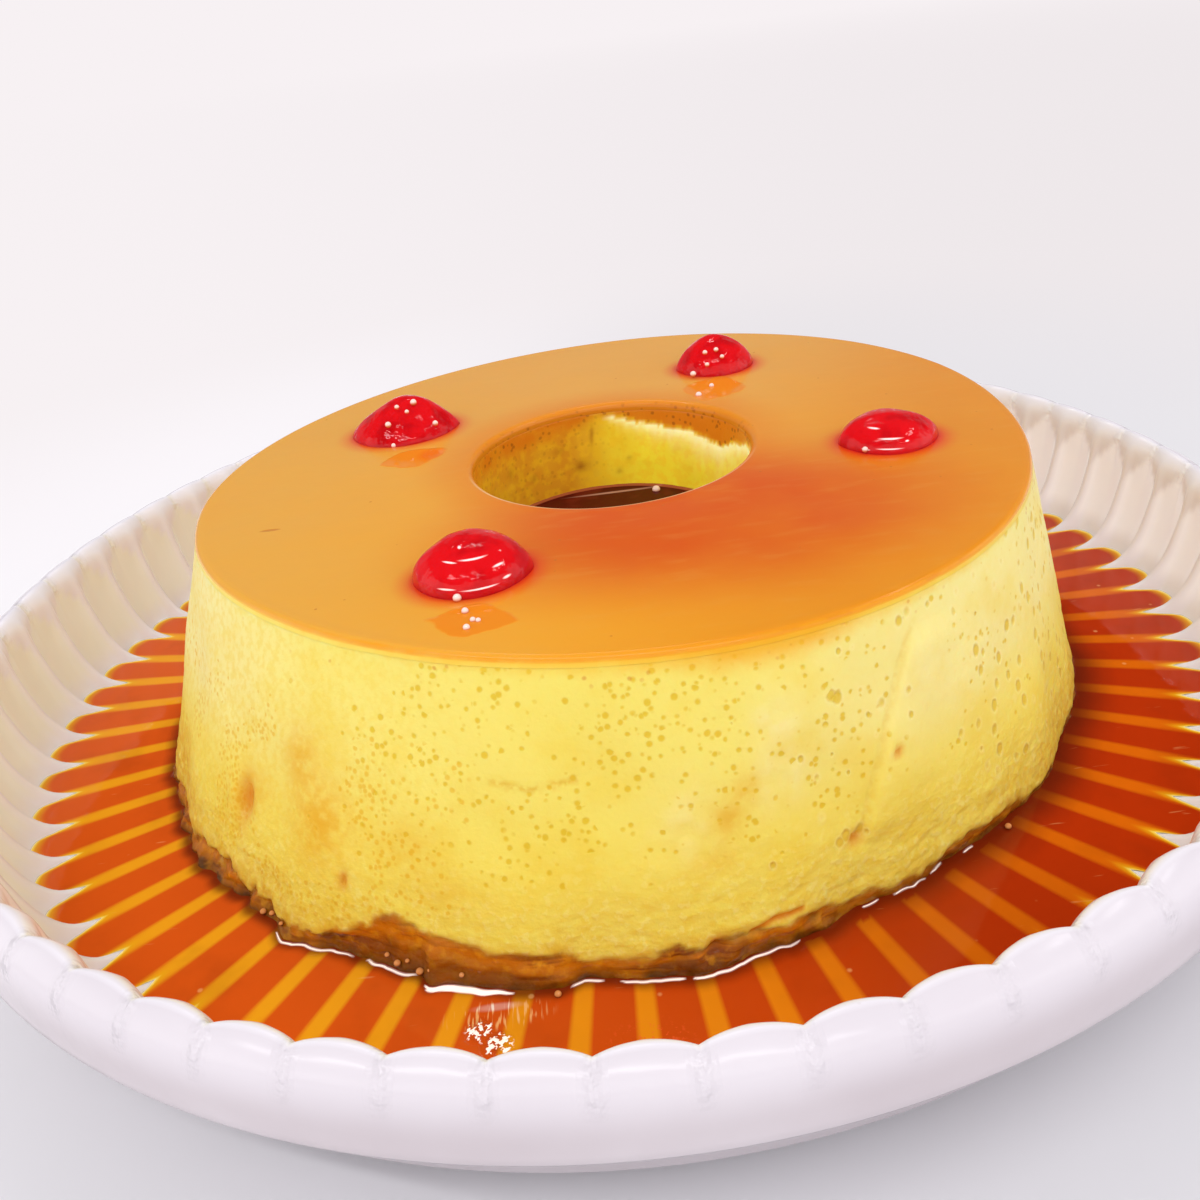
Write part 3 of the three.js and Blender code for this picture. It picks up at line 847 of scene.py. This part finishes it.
def skinFinish():
    finish = Finish("caramelSkin", caramel["tints"])
    paint, coat, fade, clouds = finish.painted, finish.coat, finish.fade, finish.clouds
    top = pudding["height"]
    x, y = finish.part(finish.place, 0), finish.part(finish.place, 1)
    finish.tint = finish.tints["front"]
    # partly the caramel's own tone and partly painted sheen: lighter towards the back and left, and a deeper
    # orange hot zone in front of the hole where the top mirrors less light
    coat(fade(y, -0.07, 0.06), "back")
    coat(fade(x + y * 0.2, 0.0, -0.075), "left")
    coat(fade(x - y * 0.45, 0.015, 0.085) * 0.9, "right")
    coat(finish.patch((4.5, -1), (45, 44), top, 0.36) * 0.75, "ring")
    coat(finish.patch((19, -41), (64, 42), top, 0.72) * 0.95, "hot")
    coat(clouds(24, 3, 0.4, 0.7) * 0.15, "front")
    coat(clouds(2.6, 4, 0.5, 0.75, finish.stretched((0.25, 1.0, 1.0))) * 0.12, "back")
    down, lip = paint("down"), paint("lip")
    side = bandStain(finish, finish.tints["below"])
    finish.tint = finish.blend(fade(down, 0.5, 1.2), finish.tint, side)
    rimLine = fade(down, 0.1, 0.35) * fade(down, 1.2, 0.7) * fade(paint("band"), 0.2, 1.0)
    coat(rimLine * clouds(5, 3, 0.3, 0.6) * 0.8, "rimLine")
    coat(lip, "lip")
    coat(fade(finish.cells(1.9, finish.warped(1.5, 0.5)), 0.34, 0.14) * lip * 0.6, "lipDot")
    coat(paint("shine"), "lipShine")
    wetness = 0.0
    for cherry in cherries:
        halfX, halfY = cherry["half"]
        halo = finish.patch((cherry["x"], cherry["y"] - 0.6), (halfX + 4.4, halfY + 3.4), top, 0.4)
        coat(halo * 0.8, "bleed")
        close = finish.patch((cherry["x"], cherry["y"]), (halfX + 1.2, halfY + 0.9), top, 0.16)
        coat(close * 0.75, "bleed")
        wetness = halo * 0.5 + wetness
    power = caramel["smearPower"]
    warp = (finish.noise(4.5) - 0.5) * 0.6
    pooled = 0.0
    for middleX, middleY, halfX, halfY, turn in caramel["smears"]:
        dx, dy = x - middleX * mm, y - middleY * mm
        cos, sin = math.cos(math.radians(turn)), math.sin(math.radians(turn))
        along, across = dx * cos + dy * sin, dy * cos - dx * sin
        away = (abs(along) / (halfX * mm)) ** power + (abs(across) / (halfY * mm)) ** power + warp
        pooled = fade(away, 1.12, 0.92) + pooled
    coat(pooled * 0.9, "smear")
    coat(finish.patch((-34.5, 9), (4.2, 5.0), top, 0.7) * pooled * 0.6, "crescent")
    nick = finish.patch((-64.2, -22.8), (2.6, 0.7), top, 0.5)
    coat(nick * 0.7, "pin")
    pin = fade(finish.cells(7.5), 0.05, 0.02)
    coat(pin * 0.6, "pin")
    normal = finish.bump(finish.noise(16), 0.4, 0.35)
    normal = finish.bump(finish.noise(1.1, 3) - pin * 2.0 - nick * 2.0, 0.03, 0.5, normal)
    normal = finish.bump(pooled, 0.12, 0.5, normal)
    return finish.surface({
        "Roughness": 0.2 - fade(pooled + wetness, 0.0, 1.0) * 0.13 + fade(down, 0.5, 2.0) * 0.25,
        "Specular IOR Level": 0.26,
        "Subsurface Weight": 0.15,
        "Subsurface Radius": (1.0, 0.4, 0.1),
        "Subsurface Scale": 1.5 * mm,
        "Normal": normal,
    })


def buildCaramel():
    angle = turns(caramel["columns"])[None, :]
    degrees = np.degrees(angle) % 360
    top = pudding["height"]
    band, nearSide = around(degrees, caramel["band"]), around(degrees, caramel["nearSide"])
    rows, paint = [], {"down": [], "lip": [], "shine": [], "band": []}

    def addRow(radius, height, down, lip=0, shine=0):
        rows.append(onPudding(angle, radius, height)[0])
        for name, value in zip(paint, (down, lip, shine, band)):
            paint[name].append((value + 0 * degrees)[0])

    def quarter(radius, turn):
        # how far below the top and how far inside its edge a rounded edge is
        return radius * (1 - math.sin(math.radians(turn))), radius * (1 - math.cos(math.radians(turn)))

    edge, lipRound, proud = caramel["edgeRound"], caramel["lipRound"], caramel["proud"]
    for down, out in caramel["sideRows"]:
        addRow(wallRadius(angle, top - down) + out, top - down, down)
    for turn in range(15, 91, 15):
        drop, inset = quarter(edge, turn)
        addRow(wallRadius(angle, top - drop) + proud * (1 - turn / 90) - inset, top - drop, drop)
    outer, inner = wallRadius(angle, top) - edge, holeRadius(top) + lipRound
    for share in np.linspace(0, 1, caramel["topRows"])[1:-1]:
        addRow(outer + (inner - outer) * share, top, 0)
        rows[-1][:, 2] += 0.06 * grain(rows[-1], 14, 41) - 0.06
    for turn in range(90, -1, -15):
        drop, inset = quarter(lipRound, turn)
        shine = caramel["lipShine"].get(turn, 0) * nearSide
        addRow(holeRadius(top - drop) + inset - proud, top - drop, 0, (1 - turn / 90) ** 1.5, shine)
    for down, out in caramel["lipRows"]:
        addRow(holeRadius(top - down) + out, top - down, 0, 1)
    addPiece("caramelSkin", rows, gridFaces(len(rows), caramel["columns"]), skinFinish(),
             ["caramel_top"], paint)


# Sauce: a thin wet sheet that fills the valleys and creeps up the flutes

sauce = {
    "plateRows": (4, 22),
    "nearRows": [-2.5, -0.8, -0.2, 0, 0.2, 0.4, 0.6, 0.8, 1.0, 1.2, 1.4, 1.6, 1.8, 2.2, 2.8, 3.6],
    "creep": (0.15, 0.35),  # how high it creeps up the pudding, and how far out that starts
    # how wide the painted highlight line along the creep is, by angle
    "shine": [(231.2, 0), (232, 0.2), (234, 0.34), (239, 0.34), (240.5, 0.2), (241.3, 0), (242.3, 0),
              (243, 0.36), (247.5, 0.36), (248.3, 0), (249.3, 0), (249.9, 0.8), (251.5, 1.2), (255, 1.1),
              (257.2, 0.4), (258, 0), (262.6, 0), (263.1, 0.3), (265.2, 0.34), (265.9, 0), (267.1, 0),
              (267.6, 0.3), (272.5, 0.42), (273, 0), (273.4, 0), (273.8, 0.34), (276, 0.4), (279.5, 0.36),
              (283.5, 0.2), (284.2, 0), (291, 0), (291.4, 0.22), (292.8, 0.2), (293.3, 0), (294.6, 0),
              (295.1, 0.22), (298.6, 0.2), (299, 0), (299.4, 0), (299.8, 0.2), (301.2, 0.2), (301.6, 0),
              (303.9, 0), (304.3, 0.2), (305.4, 0.2), (305.9, 0)],
    "shineFoot": 0.3,  # how far from the foot it starts
    # how far the pudding's dark reflection reaches out, by angle
    "shade": [(0, 8), (180, 5), (205, 3), (250, 2.6), (268, 3), (290, 5), (308, 9), (340, 9)],
    "sparkles": [(-27.3, -107.8, 2.8), (-24.4, -110.7, 3.0), (-21.2, -114.2, 2.8)],
    "poolColumns": 240,
    "poolRows": [-0.5, 0.1, 0.3, 0.5, 0.7, 0.9, 1.2, 1.8, 3, 6, 12, 20],  # how far from the hole's wall
    "poolCreep": (0.6, 0.5),
    "tints": {
        "spark": (255, 238, 228),
        "redGlitter": (238, 92, 48),
        "dry": (246, 238, 222),
        "edge": (252, 222, 92),
        "thin": (240, 172, 24),
        "ridge": (240, 162, 26),
        "ridgeRight": (222, 106, 6),
        "valley": (218, 88, 20),
        "valleyRight": (186, 52, 4),
        "under": (104, 32, 8),
        "fleckAndGlint": (250, 190, 120),
        "pool": (82, 12, 10),
        "poolCloud": (118, 36, 22),
        "poolEdge": (166, 88, 52),
        "poolSheen": (214, 164, 142),
    },
}


def sauceFinish():
    finish = Finish("wetCaramelSauce", sauce["tints"])
    tints, paint, coat = finish.tints, finish.painted, finish.coat
    fade, clouds = finish.fade, finish.clouds
    level, depth = pudding["sauceLevel"], paint("depth")
    right = fade(finish.part(finish.place, 0), -0.07, 0.07)
    valley = finish.laid(tints["valley"], (right, "valleyRight"))
    ridge = finish.laid(tints["ridge"], (right, "ridgeRight"))
    thin = finish.laid(tints["edge"], (fade(depth, 0.2, 0.9), "thin"))
    thin = finish.blend(fade(depth, 0.0, 0.3), tints["dry"], thin)
    finish.tint = finish.blend(fade(depth, 0.3, 2.3), thin, finish.blend(paint("bar"), valley, ridge))
    # painted shade: darker in front of the pudding on the right and close round its foot where its dark
    # reflection falls; the clouds between are uneven tone
    coat(finish.patch((55, -100), (42, 26), level, 0.8) * 0.22, "under")
    coat(clouds(13, 3, 0.5, 0.8) * 0.2, "under")
    coat(paint("shade") * 0.85, "under")
    # pale flecks in the sauce
    coat(fade(finish.cells(9), 0.07, 0.03) * 0.4, "fleckAndGlint")
    coat(clouds(1.2, 2, 0.72, 0.78, finish.stretched((0.12, 1.0, 1.0))) * 0.25, "fleckAndGlint")
    # a row of painted glints in scratch-like streaks under the foot, then painted sparkles over the wrinkles
    streak = clouds(0.45, 1, 0.55, 0.68, finish.stretched((1.0, 0.12, 1.0)))
    coat(finish.patch((-24.5, -105.2), (10, 3.4), level, 0.5) * streak * 0.8, "fleckAndGlint")
    coat(finish.patch((-24.7, -103.6), (5, 1.0), level, 0.7) * (0.25 + streak * 0.6), "spark")
    wrinkled = 0.0
    for *spot, reach in sauce["sparkles"]:
        wrinkled = finish.patch(spot, (reach, reach), level, 0.8) + wrinkled
    wrinkles = finish.noise(0.75, 3)
    spark = fade(wrinkles + wrinkled * 0.12, 0.6, 0.66) * fade(wrinkled, 0.0, 0.5)
    coat(spark, "spark")
    # painted reddish glitter in front of the foot
    glitter = finish.patch((-1.5, -113), (9, 4.5), level, 0.7)
    coat(fade(wrinkles, 0.56, 0.66) * glitter * 0.55, "redGlitter")
    spark = spark.most(paint("shine"))
    coat(spark, "spark")
    normal = finish.bump(finish.noise(9), 0.3, 0.35)
    normal = finish.bump(wrinkles * wrinkled, 1.2, 1.0, normal)
    return finish.surface({
        "Roughness": 0.04 + clouds(8, 3, 0.4, 0.8) * 0.04,
        "Specular IOR Level": 0.13,
        "Alpha": fade(depth, -0.04, 0.12),
        "Emission Color": finish.blend(spark, black, tints["spark"]),
        "Emission Strength": 0.5,
        "Normal": normal,
    })


def buildSauce(footLine):
    angles = fluteAngles()
    degrees = np.degrees(angles) % 360
    x, y = footLine[:, 0], footLine[:, 1]
    footAngle = np.degrees(np.arctan2(y, x)) % 360
    order = np.argsort(footAngle)
    foot = np.interp(degrees, footAngle[order], np.hypot(x, y)[order], period=360)
    # rows that follow the foot, then the plate's own rows, so that the sheet and the plate meet cleanly
    near, (first, last) = sauce["nearRows"], sauce["plateRows"]
    lineRadius, lineHeight, lineShare = (np.tile(line, plateShape["flutes"])[:last] for line in plateLines())
    outer = lineRadius[first:]
    radii = [foot + offset for offset in near]
    radii += [radii[-1] + (outer[0] - radii[-1]) * share for share in (0.3, 0.65)]
    radii = np.vstack([radii, outer])
    floor, bar = np.zeros_like(radii), np.zeros_like(radii)
    middle = plateShape["middle"][0][1]
    for column in range(len(angles)):
        out, places = radii[:, column], lineRadius[:, column]
        floor[:, column] = np.interp(out, places, lineHeight[:, column], left=middle)
        bar[:, column] = np.interp(out, places, lineShare[:, column], left=0)
    depth = pudding["sauceLevel"] - floor
    away = radii - foot
    climb, spread = sauce["creep"]
    level = pudding["sauceLevel"] + climb * np.exp(-np.clip(away, 0, None) / spread)
    points = np.stack([radii * np.cos(angles), radii * np.sin(angles), np.maximum(level, floor + 0.08)], -1)
    wide = around(degrees, sauce["shine"])
    line = sauce["shineFoot"] + wide / 2 + 0.15 * grain(points[3], 3, 51)
    paint = {
        "depth": depth,
        "bar": step(bar, 0.1, 0.95),
        "shade": step(away, around(degrees, sauce["shade"]), 0.2),
        # a painted highlight line along the foot
        "shine": step(np.abs(away - line), wide / 2 + 0.14, wide / 2 - 0.14) * (wide > 0.1),
    }
    faces = gridFaces(len(radii), len(angles), flip=True)
    wet = (depth.ravel()[faces] > -0.2).any(axis=1)
    addPiece("sauceSheet", points, faces[wet], sauceFinish(), ["sauce"], paint)


def poolFinish():
    finish = Finish("darkCaramelPool", sauce["tints"])
    finish.tint = finish.tints["pool"]
    finish.coat(finish.clouds(7, 2, 0.5, 0.7) * 0.5, "poolCloud")
    finish.coat(finish.fade(finish.painted("fromWall"), 0.9, 0.5), "poolEdge")
    finish.coat(finish.patch((6, 23.5), (15, 0.8), pudding["poolLevel"], 0.8) * 0.7, "poolSheen")
    return finish.surface({
        "Roughness": 0.05 + finish.noise(6) * 0.05,
        "Specular IOR Level": 0.06,
        "Normal": finish.bump(finish.noise(8), 0.3, 0.3),
    })


def buildPool():
    angle = turns(sauce["poolColumns"])[None, :]
    level, (climb, spread) = pudding["poolLevel"], sauce["poolCreep"]
    reach = holeRadius(level)
    rows, away = [], []
    for offset in (*sauce["poolRows"], reach - 0.5):
        height = level + climb * math.exp(-max(offset, 0) / spread)
        rows.append(onPudding(angle, reach - offset, height)[0])
        away.append(offset + 0 * angle[0])
    addPiece("centrePool", rows, gridFaces(len(rows), angle.size), poolFinish(),
             ["sauce_centre"], {"fromWall": away}, [ringFace(len(rows) - 1, angle.size)])


# Cherry halves, cut side down

cherryLook = {
    "sides": 96,
    "latitudes": np.linspace(-2, 88, 30),
    "tints": {"flesh": (222, 18, 26), "deep": (172, 5, 16), "foot": (190, 10, 18), "glint": (255, 216, 214)},
    # painted highlights on the wet skin: middle, height above the ridges, half length and half thickness
    "glints": [
        (-20.9, -58.7, 58.95, 3.2, 0.15), (-25.2, -58.5, 58.7, 1.7, 0.13), (-17, -59, 57.5, 1.3, 0.2),
        (-15.8, -60, 55.6, 0.9, 0.26), (-26, -61.6, 55.4, 2.1, 0.2), (-20, -62.3, 55.15, 4.4, 0.19),
        (-23.3, -55.8, 60.1, 0.4, 0.15), (56.9, -19.6, 57.9, 1.4, 0.17), (59.3, -22.9, 56.5, 3, 0.2),
        (58.8, -23.9, 54.8, 3.4, 0.17), (54.8, -21.8, 54.5, 0.9, 0.22), (62.5, -23.5, 55.9, 0.5, 0.2),
    ],
}


def cherryFinish():
    finish = Finish("candiedCherry", cherryLook["tints"])
    finish.tint = finish.tints["flesh"]
    finish.coat(finish.clouds(5.5, 2, 0.42, 0.68) * 0.6, "deep")
    finish.coat(finish.painted("rim") * 0.7, "foot")
    glint = 0.0
    for x, y, z, long, thick in cherryLook["glints"]:
        glint = finish.near((x, y, z), (long, 2, thick), 0.6) + glint
    finish.coat(glint, "glint")
    return finish.surface({
        "Emission Color": finish.blend(glint, black, finish.tints["glint"]),
        "Emission Strength": 0.3,
        "Roughness": 0.04 + finish.noise(2.5) * 0.04,
        "Specular IOR Level": 0.28,
        "Subsurface Weight": 0.5,
        "Subsurface Radius": (1.0, 0.15, 0.1),
        "Subsurface Scale": 3 * mm,
        "Normal": finish.bump(finish.noise(3.0), 0.7, 0.6),
    })


def buildCherries():
    finish = cherryFinish()
    angle = turns(cherryLook["sides"])
    across, along = np.cos(angle), np.sin(angle)
    outward = np.stack([across * 0.6, along * 0.6, 0.8 + 0 * angle], -1)
    for number, cherry in enumerate(cherries, 1):
        rows, rim = [], []
        halfX, halfY = cherry["half"]
        full, sharp = cherry["dome"]
        pinched = np.sign(along) * np.abs(along) ** cherry["pointed"]
        for latitude in cherryLook["latitudes"]:
            lift = max(math.sin(math.radians(latitude)), 0)
            share = (1 - lift ** (1 / sharp)) ** (1 / full)
            lean = lift ** 2 * halfX
            x = cherry["x"] + halfX * across * share + cherry["peak"][0] * lean
            y = cherry["y"] + halfY * pinched * share + cherry["peak"][1] * lean
            z = pudding["height"] - 0.1 + 9 * math.radians(min(latitude, 0)) + cherry["height"] * lift + 0 * x
            row = np.stack([x, y, z], -1)
            bump = cherry["bumps"] * grain(row, 3.6, cherry["seed"]) * lift ** 0.5
            rows.append(row + bump[:, None] * outward)
            rim.append(math.exp(-lift / 0.12) + 0 * angle)
        addPiece(f"cherryHalf_{number}", rows, gridFaces(len(rows), angle.size), finish,
                 [f"cherry_{number}"], {"rim": rim}, [ringFace(len(rows) - 1, angle.size)])


# Droplets of syrup on the cherries and the top, and bubbles in the sauce at the foot

beads = {
    # middle, height above the ridges, and radius
    "drops": [
        (-24.3, -62.8, 54.2, 0.75), (-22.8, -67.1, 53.9, 0.6), (-21.4, -70.2, 53.8, 0.5),
        (-20.5, -70.6, 53.8, 0.45), (-22.3, -72.5, 53.8, 0.6), (-43.8, 17.6, 53.9, 0.75),
        (28.0, 26.6, 53.8, 0.75), (31.9, 32.2, 53.8, 0.6), (28.5, 40.0, 54.8, 0.75),
        (31.9, 41.3, 59.4, 0.6), (34.7, 41.5, 59.7, 0.6), (35.9, 40.2, 58.2, 0.55),
        (32.0, 39.4, 56.9, 0.55), (-44.3, 18.5, 58.7, 0.7), (-42.2, 22.5, 61.3, 0.55),
        (-38.5, 24.3, 61.4, 0.75), (-33.9, 20.6, 57.0, 0.65), (-39.9, 21.0, 60.4, 0.5),
        (54.6, -22.0, 54.6, 0.6),
    ],
    "poolGlint": (15.6, 21.6, 33.3, 1.0),
    # angle, height, how far out from the wall, and radius
    "bubbles": [
        (228.2, 3.9, 0.6, 0.6), (229.6, 4.6, 0.3, 0.5), (231.5, 4.4, 0.3, 0.4), (244.6, 5.2, -0.7, 0.45),
        (245.9, 4.6, -0.4, 0.6), (246.9, 5.2, -0.6, 0.4), (248.4, 4.3, -0.1, 0.65), (249.4, 4.8, 0.0, 0.4),
        (252.6, 4.8, 0.1, 0.45), (261.7, 3.3, 1.6, 0.6), (310.8, 3.4, 1.0, 0.6),
    ],
    "sides": 16,
    "latitudes": np.radians(np.linspace(-84, 84, 11)),
    # a painted highlight on the upper part of each and painted shade on the lower part
    "syrup": {"upper": (255, 226, 214), "lower": (222, 120, 62)},
    "amber": {"upper": (226, 150, 84), "lower": (118, 42, 8)},
}


def beadFinish(name, tints):
    finish = Finish(name, tints)
    finish.tint = finish.tints["lower"]
    # painted highlight on top, painted shade below
    finish.coat(finish.fade(finish.painted("up"), -0.5, 0.5), "upper")
    return finish.surface({
        "Roughness": 0.08 + finish.noise(0.6, 1) * 0.05,
        "Specular IOR Level": 0.5,
    })


def addBeads(name, spots, tints):
    angle, latitudes = turns(beads["sides"]), beads["latitudes"]
    points, faces, ends, up = [], [], [], []
    for x, y, height, radius in spots:
        first = len(points)
        for latitude in latitudes:
            out = radius * math.cos(latitude)
            points.append(np.stack([x + out * np.cos(angle), y + out * np.sin(angle),
                                    height + radius * math.sin(latitude) + 0 * angle], -1))
            up.append(math.sin(latitude) + 0 * angle)
        faces.append(gridFaces(len(latitudes), angle.size) + first * angle.size)
        ends += [ringFace(first, angle.size, flip=True), ringFace(len(points) - 1, angle.size)]
    addPiece(name, points, np.vstack(faces), beadFinish(name + "Finish", tints),
             paint={"up": up}, ends=ends)


def buildBeads():
    addBeads("syrupDrops", beads["drops"] + [beads["poolGlint"]], beads["syrup"])
    foot = []
    for degrees, height, out, radius in beads["bubbles"]:
        angle = math.radians(degrees)
        foot.append((*onPudding(angle, wallRadius(angle, height) + out, height).tolist(), radius))
    addBeads("footBubbles", foot, beads["amber"])


# Stage

def buildStage():
    finish = Finish("paleFloor", room["tints"])
    tints = finish.tints
    x, y = finish.part(finish.place, 0), finish.part(finish.place, 1)
    away = (x ** 2 + y ** 2) ** 0.5
    far = finish.fade(away, 0.15, 0.45)
    glow = finish.blend(finish.fade(x - y * 0.3, 0.0, -0.22), black, tints["leftGlow"])
    farGlow = finish.laid(tints["seen"], (finish.fade(x / away, -0.6, 0.7), "farRight"),
                          (finish.fade(away, 1.4, 6), "seen"))
    clouded = finish.laid(tints["floor"], (finish.noise(400), "floorCloud"))
    finish.tint = finish.blend(far, clouded, black)
    finish.surface({
        "Roughness": 0.8,
        "Specular IOR Level": 0.0,
        "Emission Color": finish.blend(far, glow, farGlow),
        "Emission Strength": 1.0,
    })
    angle, reach = turns(room["floorSides"]), room["floorRadius"] * mm
    points = np.stack([reach * np.cos(angle), reach * np.sin(angle), 0 * angle], -1)
    floor = addObject("floor", makeMesh("floor", points, [ringFace(0, angle.size)], finish.owner))


def buildLight():
    world = bpy.data.worlds.new("softRoom")
    bpy.context.scene.world = world
    sky = Finish("softRoom", room["tints"], world, "Generated")
    glossy = sky.node("ShaderNodeLightPath", output="Is Glossy Ray")
    seen = sky.node("ShaderNodeLightPath", output="Is Camera Ray")
    strength = room["glowStrength"]
    mirrored = room["glossyGlow"] + sky.fade(sky.part(sky.place, 2), 0.52, 0.36) * room["lowGlow"]
    strength = strength + glossy * (mirrored - strength) + seen * (1 - strength)
    tint = sky.blend(seen, sky.tints["glow"], sky.tints["seen"])
    glow = sky.node("ShaderNodeBackground", {}, {"Color": tint, "Strength": strength})
    sky.node("ShaderNodeOutputWorld", {}, {"Surface": glow})
    for name, (spot, target, size, watts) in room["lamps"].items():
        lamp = bpy.data.lights.new(name, "AREA")
        lamp.shape = "RECTANGLE"
        lamp.size, lamp.size_y = size[0] * mm, size[1] * mm
        lamp.energy = watts
        holder = addObject(name, lamp)
        holder.location = Vector(spot) * mm
        holder.rotation_euler = (Vector(target) - Vector(spot)).to_track_quat("-Z", "Y").to_euler()


def buildCamera():
    yaw, pitch, roll = cameraPlace["yaw"], cameraPlace["pitch"], cameraPlace["roll"]
    ahead = Vector((math.sin(yaw) * math.cos(pitch), math.cos(yaw) * math.cos(pitch), -math.sin(pitch)))
    level = Vector((math.cos(yaw), -math.sin(yaw), 0))
    upright = level.cross(ahead)
    right = math.cos(roll) * level + math.sin(roll) * upright
    up = -math.sin(roll) * level + math.cos(roll) * upright
    lens = bpy.data.cameras.new("camera")
    lens.sensor_width, lens.lens = cameraPlace["sensor"], cameraPlace["lens"]
    lens.shift_y = cameraPlace["shift"]
    lens.clip_start, lens.clip_end = cameraPlace["clip"]
    camera = addObject("camera", lens)
    turn = Matrix((right, up, -ahead)).transposed().to_4x4()
    camera.matrix_world = Matrix.Translation(Vector(toFrame(cameraPlace["eye"]))) @ turn
    bpy.context.scene.camera = camera


buildCamera()
buildLight()
buildStage()
bpy.context.scene.view_settings.view_transform = "Standard"
print("camera, light and floor made")

buildPlate()
print("plate made")
footLine = buildCustard()
print("custard made")
buildCaramel()
print("caramel made")
buildSauce(footLine)
buildPool()
print("sauce made")
buildCherries()
buildBeads()
print("cherries, droplets and bubbles made")

bpy.context.view_layer.update()
